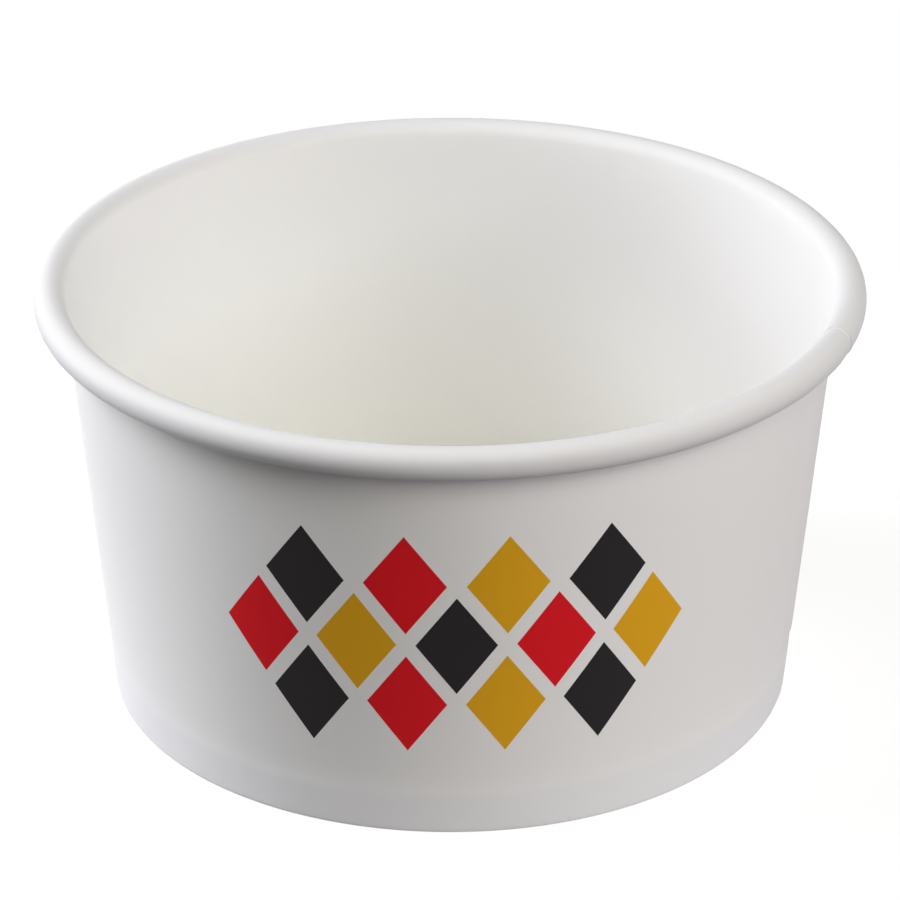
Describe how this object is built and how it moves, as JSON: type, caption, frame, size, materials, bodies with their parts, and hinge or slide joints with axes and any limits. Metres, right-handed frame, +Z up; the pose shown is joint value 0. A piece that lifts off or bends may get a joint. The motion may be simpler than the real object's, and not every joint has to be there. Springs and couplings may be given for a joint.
{
  "type": "paper dessert cup",
  "caption": "Squat paper dessert cup with a rolled rim, a lapped side seam and a floor sealed into the folded foot.",
  "frame": {"origin": "centre of the ring that the cup stands on, at table height", "axes": "+Z up along the cup's axis, -Y towards the side shown in the picture, +X to its right"},
  "size_m": [0.096, 0.096, 0.0513],
  "materials": {
    "paperboard": "satin"
  },
  "bodies": {
    "root": {"sidewall": "paperboard", "bottom": "paperboard"}
  },
  "joints": []
}
